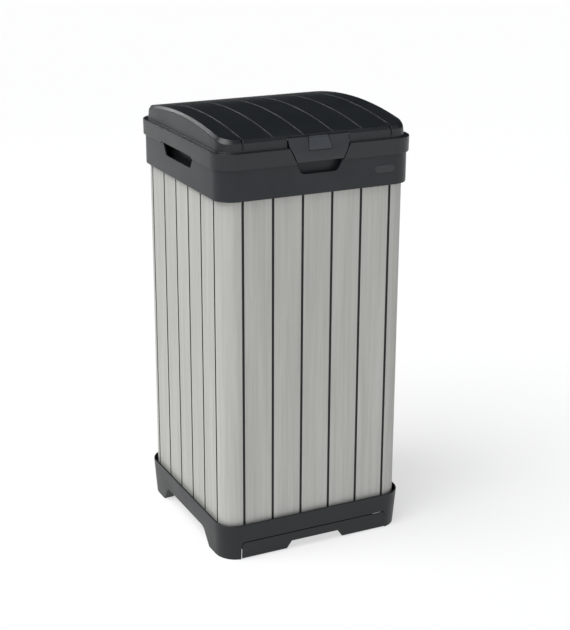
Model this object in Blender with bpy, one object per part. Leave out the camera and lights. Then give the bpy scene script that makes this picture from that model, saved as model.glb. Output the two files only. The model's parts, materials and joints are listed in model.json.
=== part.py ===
"""Litter bin: a square resin bin with grooved plank walls, a dark base with a drip tray that slides out,
a dark collar with hand holes, and an arched lid with a rear hinge and a sprung latch flap at the front.

Metres. The origin is on the floor under the middle of the bin, +Z is up and the front faces -Y.
An outline around the bin is a rounded square: half widths along X and Y, and a corner radius.
"""
import math

import bmesh
import bpy
from mathutils import Matrix, Vector

# Clearances
CLEAR = 0.0003            # between pieces that touch
RUN = 0.0005              # between pieces that move past each other
OVERCUT = 0.004           # how far a cutter runs past the wall it cuts
BITE = 0.0005             # how far a joined piece runs into the one it is part of
EDGE = 0.001              # small bevel on exposed edges
ROUND_STEPS = 6           # segments in a quarter turn of an outline
PIN_SIDES = 24
STEM_SIDES = 12

# Walls: four panels with plank grooves, seams in the side walls' outer grooves
WALL_HALF = 0.1953
WALL_CORNER = 0.035
WALL_THICK = 0.0045
POST_FLAT = 0.0056        # flat between a corner's curve and the outermost groove
PLANKS = 5
GROOVE_WIDTH = 0.0038
GROOVE_FLOOR = 0.0024     # width of a groove at its bottom
GROOVE_DEPTH = 0.0023
BOSS_RADIUS = 0.005
BOSS_HEIGHT = 0.034
BOSS_SINK = 0.003         # how far a boss is set into the inner corner of the wall

# Heights
BASE_HEIGHT = 0.0765
SHELF_TOP = 0.048
SHELF_THICK = 0.003
BODY_HEIGHT = 0.731       # floor to the collar's lower edge
COLLAR_SHOWN = 0.060      # collar below the lid's skirt
WALL_IN_COLLAR = 0.014

# Base
BASE_RIM_GAP = 0.0062     # wall face to the inside of the rim
BASE_SKIN = 0.003
BASE_DRAFT = 0.0045       # how much narrower each side is at the floor
BASE_CORNER = 0.0445
SHELF_INNER = 0.035       # shelf's reach inwards from the wall face
SHELF_CORNER = 0.012
LOCATOR = 0.010           # rim inside the walls, and its thickness
LOCATOR_THICK = 0.0025
ARCH_HALF = 0.122
ARCH_TOP_HALF = 0.098
ARCH_HEIGHT = 0.035
ARCH_CORNER = 0.010
FOOT_WEB = 0.003
FOOT_DEPTH = 0.026
BASE_SCREW_RADIUS = 0.0016
SCREW_HEAD_RADIUS = 0.0042
SCREW_HEAD_THICK = 0.0026
SCREW_LENGTH = 0.018
SCREW_SIDES = 16

# Floor pan
PAN_THICK = 0.003
PAN_LAP = 0.026           # how far the pan rests on the shelf
PAN_CORNER = 0.024
DRAIN_LENGTH = 0.040
DRAIN_WIDTH = 0.007
DRAIN_PITCH = 0.085

# Drip tray and its runners
TRAY_HALF = 0.1615
TRAY_FRONT_HEIGHT = 0.0363
TRAY_LIFT = 0.002         # front panel's gap to the floor
TRAY_CORNER = 0.007
TRAY_GAP = 0.002          # between the front panel and the base's opening
TRAY_PANEL = 0.0028
TRAY_SKIN = 0.0022
TRAY_BODY_INSET = 0.0125   # tray's side in from the front panel's end
TRAY_BODY_HALF = TRAY_HALF - TRAY_BODY_INSET
TRAY_BODY_CORNER = 0.010
TRAY_FLANGE = 0.012
TRAY_FLANGE_Z = 0.0293
TRAY_FLANGE_THICK = 0.0025
TRAY_FLOOR_Z = 0.005
TRAY_DEPTH = 0.345
FINGER_ROOM = 0.020       # space behind the front panel for the fingers
NOTCH_HALF = 0.063
NOTCH_TOP_HALF = 0.052
NOTCH_HEIGHT = 0.0173
RUNNER_THICK = 0.003

# Collar
COLLAR_OUT = 0.0070       # collar's face beyond the wall's face
COLLAR_CORNER = 0.038
COLLAR_SKIN = 0.003
COLLAR_RISE = 0.0282      # how far the collar runs up inside the lid's skirt
DECK_DROP = 0.0232        # rim top down to the deck
DECK_THICK = 0.003
MOUTH_IN = 0.0153         # mouth's inner face inwards from the wall's face
MOUTH_CORNER = 0.022
TOP_SHELF = 0.0105        # reach of the shelf over the walls' top edges, from the wall's face
CHUTE_THICK = 0.0025
CHUTE_DROP = 0.056
BEAD_HEIGHT = 0.0045
LIP_HEIGHT = 0.0045
HAND_HALF = 0.061
HAND_TOP_HALF = 0.075
HAND_LOW = 0.038          # collar's lower edge up to the hand hole
HAND_HEIGHT = 0.0235
HAND_CORNER = 0.003
RECESS_LOW = 0.0395       # collar's lower edge up to the finger recess
RECESS_HALF = 0.038
RECESS_TOP_HALF = 0.0485
RECESS_CORNER = 0.008
UPSTAND_OUT = 0.0012      # upstand behind the flap: its face beyond the wall's face, and its thickness
UPSTAND_BACK = 0.0014
RECESS_DEPTH = 0.0145
RECESS_WALL = 0.003
CATCH_RISE = 0.015        # skirt's lower edge up to the bar that the latch hooks under
CATCH_THICK = 0.0055
NIB_GAP = 0.0008          # nib's tip to the bar's face, so that the lid can lift with the flap at rest
BADGE_HALF = 0.022
BADGE_HALF_HEIGHT = 0.0075
BADGE_X = 0.140
BADGE_RISE = 0.033        # collar's lower edge up to the badge's middle
BADGE_THICK = 0.001

# Lid
SKIRT_GAP = 0.002         # collar's face to the inside of the skirt
SKIRT_SKIN = 0.0025
SKIRT_CORNER = 0.0415
SKIRT_HEIGHT = 0.031
LEDGE_IN = 0.0098         # skirt's face to the foot of the band
BAND_HEIGHT = 0.0155
BAND_DRAFT = 0.0014
BAND_CORNER = 0.034
BEVEL_HEIGHT = 0.0071
BEVEL_DEPTH = 0.0052
LID_SKIN = 0.0025
LID_TOP_SKIN = 0.0046
ARCH_RISE = 0.0186        # rise of the lid's top from front edge to middle
END_REACH = 0.009         # how far short of the band the fall of the ends reaches the band's height
END_DROP = 0.0047         # lid's top down to its flat ends, at the middle
ARCH_STEPS = 10
LID_GROOVE_WIDTH = 0.0030
LID_GROOVE_DEPTH = 0.0020
GROOVE_START = 0.0035     # ledge up to the lower end of the outer two grooves
RELIEF_HEIGHT = 0.0035    # skirt's relief over a hand hole

# Hinge
HINGE_BACK = 0.0085       # collar's face to the pin
HINGE_DROP = 0.008        # skirt's lower edge down to the pin
HINGE_X = 0.110
BARREL_RADIUS = 0.006
HINGE_PIN_RADIUS = 0.0025
LUG_WIDTH = 0.021
EAR_WIDTH = 0.005
EAR_ROOT = 0.010          # how much further down the ear's web starts on the collar
PIN_HEAD = 0.002

# Latch
FLAP_TOP_HALF = 0.0625
FLAP_LOW_HALF = 0.0480
FLAP_SHOULDER = 0.013     # straight part of each side, below the pin
FLAP_GAP = 0.0020
FLAP_LOW_Z = 0.0035       # skirt's lower edge up to the flap's
FLAP_SKIN = 0.0026
KNUCKLE_RADIUS = 0.0027
LATCH_PIN_RADIUS = 0.0011
FLAP_SLOPE_DROP = 0.0226
FLAP_SLOPE_OUT = 0.0103
POCKET_DEPTH = 0.0150
POCKET_WALL = 0.003
NIB_HALF = 0.012
BUTTON_TOP_HALF = 0.0200
BUTTON_LOW_HALF = 0.0240
BUTTON_TOP = 0.0005       # below the pin's height, along the slope
BUTTON_LENGTH = 0.0235
BUTTON_GAP = 0.0006
BUTTON_PROUD = 0.0008
BUTTON_THICK = 0.0034
BUTTON_CORNER = 0.0035
BUTTON_STEM = 0.0016
WELL_RISE = 0.006         # how far the button's opening runs up through the knuckle
WELL_DEPTH = 0.0068
FLAP_PROUD = 0.0004       # flap's face beyond the lid's band at the pin
FLAP_LEAN = 0.0008        # lean of the flap's lower, nearly upright part
BUTTON_TRAVEL = 0.0024
CAGE_DEPTH = 0.0100       # flap's face to the spring plate's near side
CAGE_START = 0.0045       # down the slope from the pin to the cage, and to its lower end
CAGE_END = 0.0140
CAGE_WALL = 0.0016
SPRING_WIRE = 0.0004
BUTTON_SPRING_RADIUS = 0.0030

# Bag ring
RING_OUT = 0.0005         # ring's outer edge beyond the wall's face
RING_IN = 0.0095          # ring's inner edge inwards from the wall's face
RING_THICK = 0.004
RING_CORNER = 0.032
RING_IN_CORNER = 0.027

# Joint ranges, used for the clearances above: lid 100 degrees, flap 25 degrees, tray 0.34 m, ring 14 mm.

COLLAR_HALF = WALL_HALF + COLLAR_OUT
SKIRT_HALF = COLLAR_HALF + SKIRT_GAP + SKIRT_SKIN
BAND_FOOT = SKIRT_HALF - LEDGE_IN
BAND_TOP = BAND_FOOT - BAND_DRAFT
TOP_HALF = BAND_TOP - BEVEL_DEPTH
BASE_HALF = WALL_HALF + BASE_RIM_GAP + BASE_SKIN
SEAM = WALL_HALF - WALL_CORNER - POST_FLAT
PLANK_PITCH = 2 * SEAM / PLANKS

COLLAR_Z = BODY_HEIGHT
WALL_Z = SHELF_TOP + CLEAR
WALL_TOP = COLLAR_Z + WALL_IN_COLLAR
SKIRT_Z = COLLAR_Z + COLLAR_SHOWN
RIM_Z = SKIRT_Z + COLLAR_RISE
DECK_Z = RIM_Z - DECK_DROP
LEDGE_Z = SKIRT_Z + SKIRT_HEIGHT
BAND_Z = LEDGE_Z + BAND_HEIGHT
EDGE_Z = BAND_Z + BEVEL_HEIGHT
APEX_Z = EDGE_Z + ARCH_RISE
ARCH_RADIUS = (TOP_HALF ** 2 + ARCH_RISE ** 2) / (2 * ARCH_RISE)

HINGE_Y = COLLAR_HALF + HINGE_BACK
HINGE_Z = SKIRT_Z - HINGE_DROP
LATCH_Y = -(BAND_TOP - KNUCKLE_RADIUS + FLAP_PROUD)
LATCH_Z = BAND_Z - CLEAR / 2
SLOPE = math.atan2(FLAP_SLOPE_OUT, FLAP_SLOPE_DROP)
BOSS_AT = WALL_HALF - WALL_CORNER + (WALL_CORNER - WALL_THICK - BOSS_SINK) / math.sqrt(2)

LIGHT = (0.52, 0.52, 0.50, 1)
DARK = (0.030, 0.032, 0.035, 1)
STEEL = (0.62, 0.62, 0.62, 1)


# ---------------------------------------------------------------- tools

def clear_scene():
    for thing in list(bpy.data.objects):
        bpy.data.objects.remove(thing, do_unlink=True)


def material(name, colour, roughness, metallic=0.0):
    made = bpy.data.materials.new(name)
    made.use_nodes = True
    shader = made.node_tree.nodes["Principled BSDF"]
    shader.inputs["Base Color"].default_value = colour
    shader.inputs["Roughness"].default_value = roughness
    shader.inputs["Metallic"].default_value = metallic
    return made


def outline(half_x, half_y, radius, side_steps=1):
    """Rounded rectangle, anticlockwise from the right side's lower end; side_steps split the two X sides."""
    points = []
    for quarter, (sx, sy) in enumerate(((1, 1), (-1, 1), (-1, -1), (1, -1))):
        cx, cy = sx * (half_x - radius), sy * (half_y - radius)
        if quarter in (0, 2):
            start = -cy
            for i in range(1, side_steps):
                points.append((sx * half_x, start + (cy - start) * i / side_steps))
        for i in range(ROUND_STEPS + 1):
            turn = math.pi / 2 * (quarter + i / ROUND_STEPS)
            points.append((cx + radius * math.cos(turn), cy + radius * math.sin(turn)))
    return points


def new_object(name, vertices, faces, finish=None):
    mesh = bpy.data.meshes.new(name)
    mesh.from_pydata([tuple(v) for v in vertices], [], faces)
    work = bmesh.new()
    work.from_mesh(mesh)
    bmesh.ops.recalc_face_normals(work, faces=work.faces)
    work.to_mesh(mesh)
    work.free()
    mesh.shade_smooth()
    mesh.set_sharp_from_angle(angle=math.radians(30))
    made = bpy.data.objects.new(name, mesh)
    bpy.context.scene.collection.objects.link(made)
    if finish:
        mesh.materials.append(finish)
    return made


def skin(name, rings, finish=None, around=False):
    """Joins rings of equal counts with quads; around joins the last to the first, else both ends are capped."""
    count = len(rings[0])
    vertices = [p for ring in rings for p in ring]
    faces = []
    for k in range(len(rings) if around else len(rings) - 1):
        a, b = k * count, (k + 1) % len(rings) * count
        for i in range(count):
            j = (i + 1) % count
            faces.append((a + i, a + j, b + j, b + i))
    if not around:
        faces.append(tuple(reversed(range(count))))
        faces.append(tuple(range(len(vertices) - count, len(vertices))))
    return new_object(name, vertices, faces, finish)


def swept(name, profile, finish=None):
    """A closed profile of (half width, corner radius, height) carried round the bin."""
    rings = [[(x, y, z) for x, y in outline(half, half, radius)] for half, radius, z in profile]
    return skin(name, rings, finish, around=True)


def prism(name, points, low, high, axis="Z", finish=None):
    """A flat outline extruded from low to high: (x, y) along Z, (x, z) along Y or (y, z) along X."""
    place = {"Z": lambda a, b, h: (a, b, h),
             "Y": lambda a, b, h: (a, h, b),
             "X": lambda a, b, h: (h, a, b)}[axis]
    return skin(name, [[place(a, b, h) for a, b in points] for h in (low, high)], finish)


def block(name, low, high, finish=None):
    corners = [(low[0], low[1]), (high[0], low[1]), (high[0], high[1]), (low[0], high[1])]
    return prism(name, corners, low[2], high[2], "Z", finish)


def rod(name, centre, radius, low, high, axis="Z", finish=None, sides=PIN_SIDES):
    points = [(centre[0] + radius * math.cos(2 * math.pi * i / sides),
               centre[1] + radius * math.sin(2 * math.pi * i / sides)) for i in range(sides)]
    return prism(name, points, low, high, axis, finish)


def tapered(half_low, half_high, low, high, corner=0.0, corners_at_top=False):
    """Trapezoid outline, (across, up), with rounded corners at its lower or its upper end."""
    lean = (half_high - half_low) / (high - low)
    if not corner:
        return [(half_low, low), (half_high, high), (-half_high, high), (-half_low, low)]
    level, side = (high, -1) if corners_at_top else (low, 1)
    half = half_high if corners_at_top else half_low
    start = Vector((half - corner, level))
    corner_point = Vector((half, level))
    end = Vector((half + lean * corner * side, level + corner * side))
    curve = [start.lerp(corner_point, t / 4).lerp(corner_point.lerp(end, t / 4), t / 4) for t in range(5)]
    right = [(p.x, p.y) for p in curve]
    other = (half_low, low) if corners_at_top else (half_high, high)
    right.append(other)
    return right + [(-a, b) for a, b in reversed(right)]


def boolean(target, tools, operation):
    for tool in tools:
        tool.hide_render = True
        tool.display_type = "WIRE"
        change = target.modifiers.new(operation.title(), "BOOLEAN")
        change.operation = operation
        change.solver = "EXACT"
        change.object = tool
    return target


def cut(target, *tools):
    return boolean(target, tools, "DIFFERENCE")


def join(target, *tools):
    return boolean(target, tools, "UNION")


def hang(piece, parent):
    """Parents a piece and keeps it where it is."""
    piece.parent = parent
    piece.matrix_parent_inverse = Matrix.Translation(parent.location).inverted()


def axis_empty(name, place):
    made = bpy.data.objects.new(name, None)
    made.location = place
    bpy.context.scene.collection.objects.link(made)
    return made


# ---------------------------------------------------------------- walls

def groove_points(centres, ascending=True):
    """Groove outline along a straight wall: (along, depth) pairs."""
    points = []
    for centre in centres if ascending else reversed(centres):
        sign = 1 if ascending else -1
        for along, depth in ((-GROOVE_WIDTH, 0), (-GROOVE_FLOOR, GROOVE_DEPTH),
                             (GROOVE_FLOOR, GROOVE_DEPTH), (GROOVE_WIDTH, 0)):
            points.append((centre + sign * along / 2, depth))
    return points


def corner_arc(radius, quarter, reverse=False):
    """Quarter turn round the bin's corner, at the given radius about the wall corner's own centre."""
    centre = WALL_HALF - WALL_CORNER
    sx, sy = ((1, 1), (-1, 1), (-1, -1), (1, -1))[quarter]
    turns = [math.pi / 2 * (quarter + i / ROUND_STEPS) for i in range(ROUND_STEPS + 1)]
    points = [(sx * centre + radius * math.cos(t), sy * centre + radius * math.sin(t)) for t in turns]
    return points[::-1] if reverse else points


def wrap_panel(name, side, finish):
    """Front (side -1) or back (side 1) wall, with the two corner posts it wraps round."""
    end = SEAM + GROOVE_WIDTH / 2
    lap = WALL_HALF - GROOVE_DEPTH + CLEAR
    straight = WALL_HALF - WALL_CORNER
    centres = [PLANK_PITCH * (i - PLANKS / 2) for i in range(PLANKS + 1)]
    points = [(-WALL_HALF, -end)] + corner_arc(WALL_CORNER, 2)
    points += [(along, -WALL_HALF + depth) for along, depth in groove_points(centres)]
    points += corner_arc(WALL_CORNER, 3) + [(WALL_HALF, -end)]
    points += [(lap, -end), (lap, -straight)]
    points += corner_arc(WALL_CORNER - WALL_THICK, 3, reverse=True)
    points += corner_arc(WALL_CORNER - WALL_THICK, 2, reverse=True)
    points += [(-lap, -straight), (-lap, -end)]
    if side > 0:
        points = [(-x, -y) for x, y in points]
    panel = prism(name, points, WALL_Z, WALL_TOP, "Z", finish)
    for sx in (-1, 1):
        at = (sx * BOSS_AT, side * BOSS_AT)
        join(panel, rod(name + "_boss_tool", at, BOSS_RADIUS, WALL_Z, WALL_Z + BOSS_HEIGHT))
        cut(panel, rod(name + "_bore_tool", at, BASE_SCREW_RADIUS + CLEAR, WALL_Z - OVERCUT,
                       WALL_Z + BOSS_HEIGHT - 2 * OVERCUT))
    return panel


def flat_panel(name, side, finish):
    """Left (side -1) or right (side 1) wall, with a tongue at each end behind the wrap panels."""
    shoulder = SEAM - GROOVE_WIDTH / 2
    tongue = WALL_HALF - WALL_CORNER - CLEAR
    centres = [PLANK_PITCH * (i - PLANKS / 2) for i in range(1, PLANKS)]
    points = [(WALL_HALF - GROOVE_DEPTH, -tongue), (WALL_HALF - GROOVE_DEPTH, -shoulder), (WALL_HALF, -shoulder)]
    points += [(WALL_HALF - depth, along) for along, depth in groove_points(centres)]
    points += [(WALL_HALF, shoulder), (WALL_HALF - GROOVE_DEPTH, shoulder), (WALL_HALF - GROOVE_DEPTH, tongue)]
    points += [(WALL_HALF - WALL_THICK, tongue), (WALL_HALF - WALL_THICK, -tongue)]
    return prism(name, [(side * x, side * y) for x, y in points], WALL_Z, WALL_TOP, "Z", finish)


# ---------------------------------------------------------------- base

def base_face(z):
    """Half width of the base's outer face at height z."""
    return BASE_HALF - BASE_DRAFT * (1 - z / BASE_HEIGHT)


def make_base(finish):
    inner = WALL_HALF + BASE_RIM_GAP
    wall_inner = WALL_HALF - WALL_THICK - CLEAR
    wall_inner_corner = WALL_CORNER - WALL_THICK - CLEAR
    shelf_in = WALL_HALF - SHELF_INNER
    under = SHELF_TOP - SHELF_THICK
    skin_corner = BASE_CORNER - BASE_SKIN
    base = swept("base", [
        (base_face(0), BASE_CORNER, 0),
        (base_face(BASE_HEIGHT - EDGE), BASE_CORNER, BASE_HEIGHT - EDGE),
        (BASE_HALF - EDGE, BASE_CORNER - EDGE, BASE_HEIGHT),
        (inner, skin_corner, BASE_HEIGHT),
        (inner, skin_corner, SHELF_TOP),
        (wall_inner, wall_inner_corner, SHELF_TOP),
        (wall_inner, wall_inner_corner, SHELF_TOP + LOCATOR),
        (wall_inner - LOCATOR_THICK, wall_inner_corner - LOCATOR_THICK, SHELF_TOP + LOCATOR),
        (wall_inner - LOCATOR_THICK, wall_inner_corner - LOCATOR_THICK, SHELF_TOP),
        (shelf_in, SHELF_CORNER, SHELF_TOP),
        (shelf_in, SHELF_CORNER, under),
        (base_face(under) - BASE_SKIN, skin_corner, under),
        (base_face(0) - BASE_SKIN, skin_corner, 0),
    ], finish)
    lean = (ARCH_HALF - ARCH_TOP_HALF) / ARCH_HEIGHT
    web_low = BASE_HALF - FOOT_DEPTH
    web_high = base_face(0) - BASE_SKIN / 2
    for axis, sign in (("X", -1), ("X", 1), ("Y", 1)):
        for end in (-1, 1):
            foot, top = ARCH_HALF + BITE, ARCH_HALF - lean * (under + EDGE)
            web = [(end * foot, 0), (end * top, under + EDGE), (end * (top + FOOT_WEB), under + EDGE),
                   (end * (foot + FOOT_WEB), 0)]
            low, high = sorted((sign * web_low, sign * web_high))
            join(base, prism("foot_web_tool", web, low, high, axis))
        arch = tapered(ARCH_HALF + lean * OVERCUT, ARCH_TOP_HALF, -OVERCUT, ARCH_HEIGHT, ARCH_CORNER, True)
        low, high = sorted((sign * (base_face(0) - BASE_SKIN - OVERCUT), sign * (BASE_HALF + OVERCUT)))
        cut(base, prism("arch_tool", arch, low, high, axis))
    opening = tapered(TRAY_HALF + TRAY_GAP, TRAY_HALF + TRAY_GAP, -OVERCUT, TRAY_FRONT_HEIGHT + TRAY_GAP,
                      TRAY_CORNER + TRAY_GAP, True)
    cut(base, prism("tray_opening_tool", opening, -(BASE_HALF + OVERCUT),
                    -(base_face(0) - BASE_SKIN - OVERCUT), "Y"))
    for sx in (-1, 1):
        beside = TRAY_HALF + TRAY_GAP + BITE
        low, high = sorted((sx * beside, sx * (beside + FOOT_WEB)))
        join(base, block("front_web_tool", (low, -web_high, 0), (high, -web_low, under + EDGE)))
        for sy in (-1, 1):
            at = (sx * BOSS_AT, sy * BOSS_AT)
            cut(base, rod("boss_room_tool", at, BOSS_RADIUS + RUN, SHELF_TOP, SHELF_TOP + LOCATOR + OVERCUT))
            cut(base, rod("screw_hole_tool", at, BASE_SCREW_RADIUS + CLEAR, under - OVERCUT, SHELF_TOP + OVERCUT))
    return base


def make_base_screw(name, at, finish):
    head_top = SHELF_TOP - SHELF_THICK - CLEAR
    tip = SCREW_LENGTH * 0.12
    shape = [(SCREW_HEAD_RADIUS * 0.8, head_top - SCREW_HEAD_THICK),
             (SCREW_HEAD_RADIUS, head_top - SCREW_HEAD_THICK * 0.6), (SCREW_HEAD_RADIUS, head_top),
             (BASE_SCREW_RADIUS, head_top), (BASE_SCREW_RADIUS, head_top + SCREW_LENGTH - tip),
             (BASE_SCREW_RADIUS / 4, head_top + SCREW_LENGTH)]
    turns = [2 * math.pi * i / SCREW_SIDES for i in range(SCREW_SIDES)]
    rings = [[(at[0] + r * math.cos(t), at[1] + r * math.sin(t), z) for t in turns] for r, z in shape]
    return skin(name, rings, finish)


def make_floor_pan(finish):
    half = WALL_HALF - SHELF_INNER + PAN_LAP - RUN
    low = SHELF_TOP + CLEAR
    pan = prism("floor_pan", outline(half, half, PAN_CORNER), low, low + PAN_THICK, "Z", finish)
    for i in (-1, 0, 1):
        for j in (-1, 0, 1):
            x, y = i * DRAIN_PITCH, j * DRAIN_PITCH
            slot = [(x + a, y + b) for a, b in outline(DRAIN_WIDTH / 2, DRAIN_LENGTH / 2, DRAIN_WIDTH * 0.48)]
            cut(pan, prism("drain_tool", slot, low - OVERCUT, low + PAN_THICK + OVERCUT))
    for sx in (-1, 1):
        for sy in (-1, 1):
            cut(pan, rod("pan_boss_tool", (sx * BOSS_AT, sy * BOSS_AT), BOSS_RADIUS + RUN, low - OVERCUT,
                         low + PAN_THICK + OVERCUT))
    return pan


def make_tray(finish):
    """Open tray on side flanges, with a front panel flush with the base and a finger notch under it."""
    face_low = -base_face(TRAY_LIFT)
    body_front = face_low + TRAY_PANEL + FINGER_ROOM
    body_back = face_low + TRAY_DEPTH
    top = TRAY_FLANGE_Z + TRAY_FLANGE_THICK
    middle = (body_front + body_back) / 2
    half_depth = (body_back - body_front) / 2

    def shell(half_x, half_y, radius, low, high):
        points = [(x, y + middle) for x, y in outline(half_x, half_y, radius)]
        return prism("tray_shell_tool", points, low, high)

    tray = shell(TRAY_BODY_HALF, half_depth, TRAY_BODY_CORNER, TRAY_FLOOR_Z, top)
    tray.name = "drip_tray"
    tray.data.materials.append(finish)
    cut(tray, shell(TRAY_BODY_HALF - TRAY_SKIN, half_depth - TRAY_SKIN, TRAY_BODY_CORNER - TRAY_SKIN,
                    TRAY_FLOOR_Z + TRAY_SKIN, top + OVERCUT))
    for sx in (-1, 1):
        low, high = sorted((sx * (TRAY_BODY_HALF - TRAY_SKIN / 2), sx * (TRAY_BODY_HALF + TRAY_FLANGE)))
        join(tray, block("tray_flange_tool", (low, body_front + TRAY_BODY_CORNER, TRAY_FLANGE_Z),
                         (high, body_back - TRAY_BODY_CORNER, top)))
    panel_points = tapered(TRAY_HALF, TRAY_HALF, TRAY_LIFT, TRAY_FRONT_HEIGHT, TRAY_CORNER, True)
    right = [p for p in panel_points if p[0] > 0]
    notch = [(NOTCH_HALF, TRAY_LIFT), (NOTCH_TOP_HALF, NOTCH_HEIGHT)]
    half_loop = right + notch
    loop = half_loop + [(-a, b) for a, b in reversed(half_loop)]
    rings = [[(x, -base_face(z) + depth, z) for x, z in loop] for depth in (0, TRAY_PANEL)]
    join(tray, skin("tray_front_tool", rings))
    panel_middle = -base_face(TRAY_FLANGE_Z) + TRAY_PANEL / 2
    bridge_half = TRAY_BODY_HALF - TRAY_BODY_CORNER
    join(tray, block("tray_bridge_tool", (-bridge_half, panel_middle, TRAY_FLANGE_Z + BITE),
                     (bridge_half, body_front + TRAY_SKIN / 2, top - BITE)))
    return tray


def make_runner(name, side, finish):
    """Angle strip under the base's shelf that the tray's flange slides on."""
    hang_low = TRAY_BODY_HALF + TRAY_FLANGE + RUN * 2
    top = SHELF_TOP - SHELF_THICK - CLEAR
    rest = TRAY_FLANGE_Z - CLEAR
    inner = TRAY_BODY_HALF + RUN * 2
    points = [(inner, rest - RUNNER_THICK), (hang_low + RUNNER_THICK, rest - RUNNER_THICK),
              (hang_low + RUNNER_THICK, top), (hang_low, top), (hang_low, rest), (inner, rest)]
    end = BASE_HALF - FOOT_DEPTH - RUN * 4
    return prism(name, [(side * x, z) for x, z in points], -end, end, "Y", finish)


# ---------------------------------------------------------------- collar

def make_collar(finish):
    inner = COLLAR_HALF - COLLAR_SKIN
    inner_corner = COLLAR_CORNER - COLLAR_SKIN
    mouth = WALL_HALF - MOUTH_IN
    chute_out = mouth + CHUTE_THICK
    chute_corner = MOUTH_CORNER + CHUTE_THICK
    lip = WALL_HALF + RUN
    lip_corner = WALL_CORNER + RUN
    deck_under = DECK_Z - DECK_THICK
    shelf_in = WALL_HALF - TOP_SHELF
    shelf_low = WALL_TOP + CLEAR
    shelf_high = shelf_low + DECK_THICK
    collar = swept("collar", [
        (COLLAR_HALF - EDGE, COLLAR_CORNER - EDGE, COLLAR_Z),
        (COLLAR_HALF, COLLAR_CORNER, COLLAR_Z + EDGE),
        (COLLAR_HALF, COLLAR_CORNER, RIM_Z - EDGE),
        (COLLAR_HALF - EDGE, COLLAR_CORNER - EDGE, RIM_Z),
        (inner, inner_corner, RIM_Z),
        (inner, inner_corner, DECK_Z),
        (chute_out, chute_corner, DECK_Z),
        (chute_out, chute_corner, DECK_Z + BEAD_HEIGHT - EDGE),
        (chute_out - EDGE, chute_corner - EDGE, DECK_Z + BEAD_HEIGHT),
        (mouth, MOUTH_CORNER, DECK_Z + BEAD_HEIGHT - EDGE),
        (mouth, MOUTH_CORNER, DECK_Z - CHUTE_DROP),
        (chute_out, chute_corner, DECK_Z - CHUTE_DROP),
        (chute_out, chute_corner, deck_under),
        (inner, inner_corner, deck_under),
        (inner, inner_corner, shelf_high),
        (shelf_in, MOUTH_CORNER, shelf_high),
        (shelf_in, MOUTH_CORNER, shelf_low),
        (inner, inner_corner, shelf_low),
        (inner, inner_corner, COLLAR_Z + LIP_HEIGHT),
        (lip, lip_corner, COLLAR_Z + LIP_HEIGHT - 0.0015),
        (lip, lip_corner, COLLAR_Z),
    ], finish)
    # finger recess at the front: a solid block behind the skin, then the recess itself
    recess_z = COLLAR_Z + RECESS_LOW
    face = -(COLLAR_HALF - COLLAR_SKIN / 2)
    back = -(COLLAR_HALF - RECESS_DEPTH)
    room = RECESS_TOP_HALF + RECESS_WALL
    join(collar, block("recess_block_tool", (-room, face, recess_z - RECESS_WALL),
                       (room, -(mouth + CHUTE_THICK / 2), DECK_Z - BITE)))
    upstand = -(WALL_HALF + UPSTAND_OUT)
    catch_z = SKIRT_Z + CATCH_RISE
    flap_room = FLAP_TOP_HALF + FLAP_GAP
    cut(collar, block("flap_room_tool", (-flap_room, -(COLLAR_HALF + OVERCUT), catch_z + CATCH_THICK),
                      (flap_room, -(COLLAR_HALF - COLLAR_SKIN - EDGE), RIM_Z + OVERCUT)))
    join(collar, block("recess_upstand_tool", (-flap_room - RECESS_WALL, upstand - UPSTAND_BACK, DECK_Z - BITE * 3),
                       (flap_room + RECESS_WALL, upstand, RIM_Z - BITE)))
    for side in (-1, 1):
        low, high = sorted((side * (flap_room + BITE), side * (flap_room + RECESS_WALL - BITE)))
        join(collar, block("upstand_end_tool", (low, face, DECK_Z - BITE * 2), (high, upstand - BITE, RIM_Z - EDGE)))
    join(collar, block("catch_tool", (-room, face, catch_z), (room, upstand - BITE, catch_z + CATCH_THICK - BITE)))
    slope = (RECESS_TOP_HALF - RECESS_HALF) / (DECK_Z - DECK_THICK - recess_z)
    deep = tapered(RECESS_HALF, RECESS_HALF + slope * (deck_under - recess_z), recess_z, deck_under, RECESS_CORNER)
    cut(collar, prism("recess_tool", deep, -(COLLAR_HALF + OVERCUT), back, "Y"))
    cut(collar, block("recess_slot_tool", (-RECESS_TOP_HALF, -(COLLAR_HALF + OVERCUT), deck_under - EDGE),
                      (RECESS_TOP_HALF, upstand - UPSTAND_BACK, catch_z)))
    # hand holes in the left and right faces
    hand_z = COLLAR_Z + HAND_LOW
    hole = tapered(HAND_HALF, HAND_TOP_HALF, hand_z, hand_z + HAND_HEIGHT, HAND_CORNER)
    for sx in (-1, 1):
        low, high = sorted((sx * (inner - OVERCUT), sx * (COLLAR_HALF + OVERCUT)))
        cut(collar, prism("hand_hole_tool", hole, low, high, "X"))
    # seat for the badge
    seat = badge_outline(CLEAR)
    cut(collar, prism("badge_seat_tool", seat, -(COLLAR_HALF + OVERCUT), -(COLLAR_HALF - BADGE_THICK - CLEAR), "Y"))
    # hinge ears
    for sx in (-1, 1):
        for side in (-1, 1):
            near = sx * HINGE_X + side * (LUG_WIDTH / 2 + RUN)
            low, high = sorted((near, near + side * EAR_WIDTH))
            join(collar, prism("ear_tool", ear_outline(), low, high, "X"))
            cut(collar, rod("ear_bore_tool", (HINGE_Y, HINGE_Z), HINGE_PIN_RADIUS + CLEAR, low - OVERCUT / 2,
                            high + OVERCUT / 2, "X"))
    return collar


def badge_outline(grow):
    points = outline(BADGE_HALF + grow, BADGE_HALF_HEIGHT + grow, BADGE_HALF_HEIGHT * 0.97 + grow)
    return [(BADGE_X + x, COLLAR_Z + BADGE_RISE + z) for x, z in points]


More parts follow.
